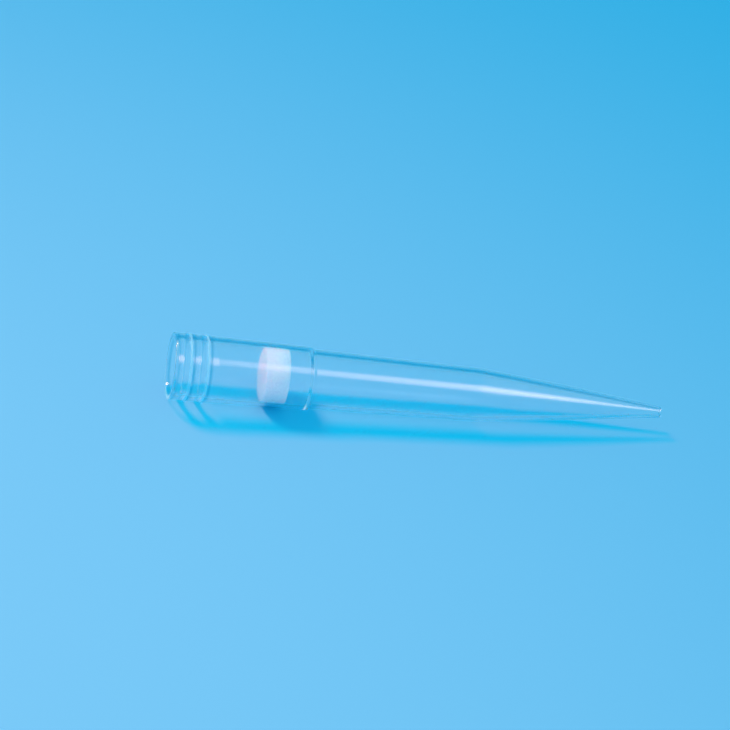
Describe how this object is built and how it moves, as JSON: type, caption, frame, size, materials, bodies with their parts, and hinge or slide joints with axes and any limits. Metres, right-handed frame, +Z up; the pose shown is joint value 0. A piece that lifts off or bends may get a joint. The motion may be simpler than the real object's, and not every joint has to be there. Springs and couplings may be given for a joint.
{
  "type": "pipette tip",
  "caption": "Clear conical tip with a ringed collar and a white filter plug, pushed onto a hand pipette's nose to draw up liquid.",
  "frame": {"origin": "middle of the part's footprint on the surface it lies on", "axes": "+Z up, +X along the tip towards its narrow end, +Y to the left of +X"},
  "size_m": [0.0702, 0.0094, 0.0095],
  "materials": {
    "clear_polypropylene": "clear injection-moulded polypropylene, smooth",
    "sintered_filter": "porous sintered polyethylene, matt and fine-grained"
  },
  "bodies": {
    "root": {"tip_body": "clear_polypropylene", "filter_plug": "sintered_filter"}
  },
  "joints": []
}
